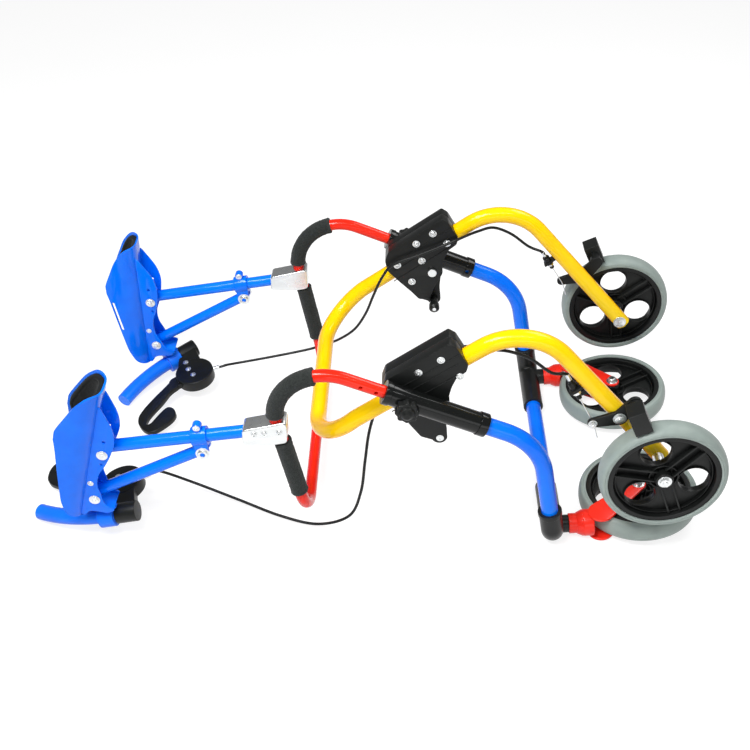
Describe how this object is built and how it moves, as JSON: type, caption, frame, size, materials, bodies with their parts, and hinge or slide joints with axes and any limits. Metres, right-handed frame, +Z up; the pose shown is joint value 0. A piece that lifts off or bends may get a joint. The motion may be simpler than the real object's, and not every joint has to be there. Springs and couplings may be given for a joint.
{
  "type": "forearm walking frame",
  "caption": "Folded forearm walking frame lying down: tube frame, swivel casters, large rear wheels, height-adjustable handlebar, tilting arm troughs and hand brakes.",
  "frame": {"origin": "bottom centre of the bounding box of the folded frame as it lies on the floor", "axes": "+X runs from the arm supports to the wheels, +Y to the user's right side, +Z up from the floor"},
  "size_m": [1.1347, 0.5456, 0.402],
  "materials": {
    "blue_paint": "gloss",
    "yellow_paint": "gloss",
    "red_paint": "gloss",
    "black_gloss": "gloss",
    "black_moulding": "gloss",
    "black_plastic": "satin",
    "blue_plastic": "satin",
    "red_plastic": "satin",
    "zinc_steel": "satin",
    "grey_rubber": "matte",
    "black_foam": "matte"
  },
  "bodies": {
    "front_frame": {"front_cross_tube": "blue_paint", "left_sleeve": "black_gloss", "left_front_leg": "blue_paint", "left_elbow": "black_moulding", "left_brake_cable": "black_plastic", "right_sleeve": "black_gloss", "right_front_leg": "blue_paint", "right_elbow": "black_moulding", "right_brake_cable": "black_plastic"},
    "rear_frame": {"rear_frame_tube": "yellow_paint", "left_bracket_outer": "black_plastic", "left_bracket_inner": "black_plastic", "left_cable_stop": "black_plastic", "left_rear_axle": "zinc_steel", "right_bracket_outer": "black_plastic", "right_bracket_inner": "black_plastic", "right_cable_stop": "black_plastic", "right_rear_axle": "zinc_steel"},
    "handlebar": {"handlebar_tube": "red_paint", "left_bend_foam": "black_foam", "left_run_foam": "black_foam", "left_arm_clamp": "zinc_steel", "left_arm_post": "blue_paint", "right_bend_foam": "black_foam", "right_run_foam": "black_foam", "right_arm_clamp": "zinc_steel", "right_arm_post": "blue_paint"},
    "left_knob": {"left_height_knob": "black_plastic"},
    "left_rear_wheel": {"left_rear_rim": "black_plastic", "left_rear_tyre": "grey_rubber"},
    "left_brake": {"left_brake_arm": "black_plastic"},
    "left_plunger": {"left_lock_plunger": "black_plastic"},
    "left_caster": {"left_caster_fork": "red_plastic", "left_caster_axle": "zinc_steel"},
    "left_caster_wheel": {"left_caster_rim": "black_plastic", "left_caster_tyre": "grey_rubber"},
    "left_collar": {"left_slider": "blue_paint"},
    "left_brace": {"left_strut": "blue_paint"},
    "left_arm_support": {"left_trough": "blue_paint", "left_trough_pad": "black_foam"},
    "left_grip": {"left_hand_grip": "blue_plastic", "left_brake_housing": "black_plastic"},
    "left_lever": {"left_brake_lever": "black_plastic"},
    "right_knob": {"right_height_knob": "black_plastic"},
    "right_rear_wheel": {"right_rear_rim": "black_plastic", "right_rear_tyre": "grey_rubber"},
    "right_brake": {"right_brake_arm": "black_plastic"},
    "right_plunger": {"right_lock_plunger": "black_plastic"},
    "right_caster": {"right_caster_fork": "red_plastic", "right_caster_axle": "zinc_steel"},
    "right_caster_wheel": {"right_caster_rim": "black_plastic", "right_caster_tyre": "grey_rubber"},
    "right_collar": {"right_slider": "blue_paint"},
    "right_brace": {"right_strut": "blue_paint"},
    "right_arm_support": {"right_trough": "blue_paint", "right_trough_pad": "black_foam"},
    "right_grip": {"right_hand_grip": "blue_plastic", "right_brake_housing": "black_plastic"},
    "right_lever": {"right_brake_lever": "black_plastic"}
  },
  "joints": [
    {"name": "fold_hinge", "type": "hinge", "parent": "front_frame", "child": "rear_frame", "pos_m": [0.11241, 0, 0.28212], "axis": [0, -1, 0], "range_deg": [0, 63.5], "deforming": ["left_brake_cable", "right_brake_cable"]},
    {"name": "height_slide", "type": "slide", "parent": "front_frame", "child": "handlebar", "axis": [0.9285, 0, -0.3714], "range_m": [-0.075, 0.05], "deforming": ["left_brake_cable", "right_brake_cable"]},
    {"name": "left_knob_turn", "type": "hinge", "parent": "front_frame", "child": "left_knob", "pos_m": [0.06561, -0.23, 0.30084], "axis": [0, 1, 0], "continuous": true},
    {"name": "left_rear_wheel_spin", "type": "hinge", "parent": "rear_frame", "child": "left_rear_wheel", "pos_m": [0.4676, -0.245, 0.1718], "axis": [0, 1, 0], "continuous": true},
    {"name": "left_plunger_pull", "type": "slide", "parent": "rear_frame", "child": "left_plunger", "axis": [0, 1, 0], "range_m": [0, 0.008], "stiffness_N_per_m": 600, "springref_m": -0.01},
    {"name": "left_caster_swivel", "type": "hinge", "parent": "front_frame", "child": "left_caster", "pos_m": [0.3136, -0.205, 0.0176], "axis": [0.9945, 0, 0.1045], "range_deg": [-170, 60]},
    {"name": "left_caster_spin", "type": "hinge", "parent": "left_caster", "child": "left_caster_wheel", "pos_m": [0.46606, -0.144, 0.03362], "axis": [-0.1045, 0, 0.9945], "continuous": true},
    {"name": "left_trough_tilt", "type": "hinge", "parent": "handlebar", "child": "left_arm_support", "pos_m": [-0.41062, -0.222, 0.19192], "axis": [0, 1, 0], "range_deg": [-15, 10], "deforming": ["left_brake_cable"]},
    {"name": "left_collar_slide", "type": "slide", "parent": "handlebar", "child": "left_collar", "axis": [-0.9877, 0, -0.1564], "range_m": [-0.0215, 0.0145]},
    {"name": "left_brace_hinge", "type": "hinge", "parent": "left_collar", "child": "left_brace", "pos_m": [-0.25343, -0.222, 0.1905], "axis": [0, 1, 0], "range_deg": [-3, 2.5]},
    {"name": "left_grip_swing", "type": "hinge", "parent": "left_arm_support", "child": "left_grip", "pos_m": [-0.42758, -0.222, 0.04097], "axis": [-0.2672, 0, -0.9636], "range_deg": [-15, 55], "deforming": ["left_brake_cable"]},
    {"name": "left_lever_squeeze", "type": "hinge", "parent": "left_grip", "child": "left_lever", "pos_m": [-0.4178, -0.15, 0.04306], "axis": [-0.2096, 0, 0.9778], "range_deg": [0, 18], "stiffness_Nm_per_rad": 1.2, "springref_deg": -28.65},
    {"name": "left_brake_swing", "type": "hinge", "parent": "rear_frame", "child": "left_brake", "pos_m": [0.39498, -0.2045, 0.25309], "axis": [0, 1, 0], "range_deg": [0, 4], "deforming": ["left_brake_cable"]},
    {"name": "right_knob_turn", "type": "hinge", "parent": "front_frame", "child": "right_knob", "pos_m": [0.06561, 0.23, 0.30084], "axis": [0, 1, 0], "continuous": true},
    {"name": "right_rear_wheel_spin", "type": "hinge", "parent": "rear_frame", "child": "right_rear_wheel", "pos_m": [0.4676, 0.245, 0.1718], "axis": [0, 1, 0], "continuous": true},
    {"name": "right_plunger_pull", "type": "slide", "parent": "rear_frame", "child": "right_plunger", "axis": [0, -1, 0], "range_m": [0, 0.008], "stiffness_N_per_m": 600, "springref_m": -0.01},
    {"name": "right_caster_swivel", "type": "hinge", "parent": "front_frame", "child": "right_caster", "pos_m": [0.3136, 0.205, 0.0176], "axis": [-0.9945, 0, -0.1045], "range_deg": [-170, 60]},
    {"name": "right_caster_spin", "type": "hinge", "parent": "right_caster", "child": "right_caster_wheel", "pos_m": [0.46606, 0.144, 0.03362], "axis": [0.1045, 0, -0.9945], "continuous": true},
    {"name": "right_trough_tilt", "type": "hinge", "parent": "handlebar", "child": "right_arm_support", "pos_m": [-0.41891, 0.222, 0.18688], "axis": [0, 1, 0], "range_deg": [-5, 20], "deforming": ["right_brake_cable"]},
    {"name": "right_collar_slide", "type": "slide", "parent": "handlebar", "child": "right_collar", "axis": [-0.9851, 0, -0.1719], "range_m": [-0.008, 0.03]},
    {"name": "right_brace_hinge", "type": "hinge", "parent": "right_collar", "child": "right_brace", "pos_m": [-0.24121, 0.222, 0.1915], "axis": [0, 1, 0], "range_deg": [-1.2, 3.6]},
    {"name": "right_grip_swing", "type": "hinge", "parent": "right_arm_support", "child": "right_grip", "pos_m": [-0.39596, 0.222, 0.03672], "axis": [0.007, 0, 1], "range_deg": [-53, 17], "deforming": ["right_brake_cable"]},
    {"name": "right_lever_squeeze", "type": "hinge", "parent": "right_grip", "child": "right_lever", "pos_m": [-0.34387, 0.17132, 0.03818], "axis": [0.1367, 0.1122, -0.9842], "range_deg": [0, 18], "stiffness_Nm_per_rad": 1.2, "springref_deg": -28.65},
    {"name": "right_brake_swing", "type": "hinge", "parent": "rear_frame", "child": "right_brake", "pos_m": [0.39498, 0.2045, 0.25309], "axis": [0, 1, 0], "range_deg": [0, 4], "deforming": ["right_brake_cable"]}
  ],
  "couplings": [
    {"joint": "left_collar_slide", "follows": "left_trough_tilt", "m_per_rad": 0.0803},
    {"joint": "left_brace_hinge", "follows": "left_trough_tilt", "ratio": 0.18},
    {"joint": "left_brake_swing", "follows": "left_lever_squeeze", "ratio": 0.2},
    {"joint": "right_collar_slide", "follows": "right_trough_tilt", "m_per_rad": 0.083},
    {"joint": "right_brace_hinge", "follows": "right_trough_tilt", "ratio": 0.158},
    {"joint": "right_brake_swing", "follows": "right_lever_squeeze", "ratio": 0.2}
  ]
}
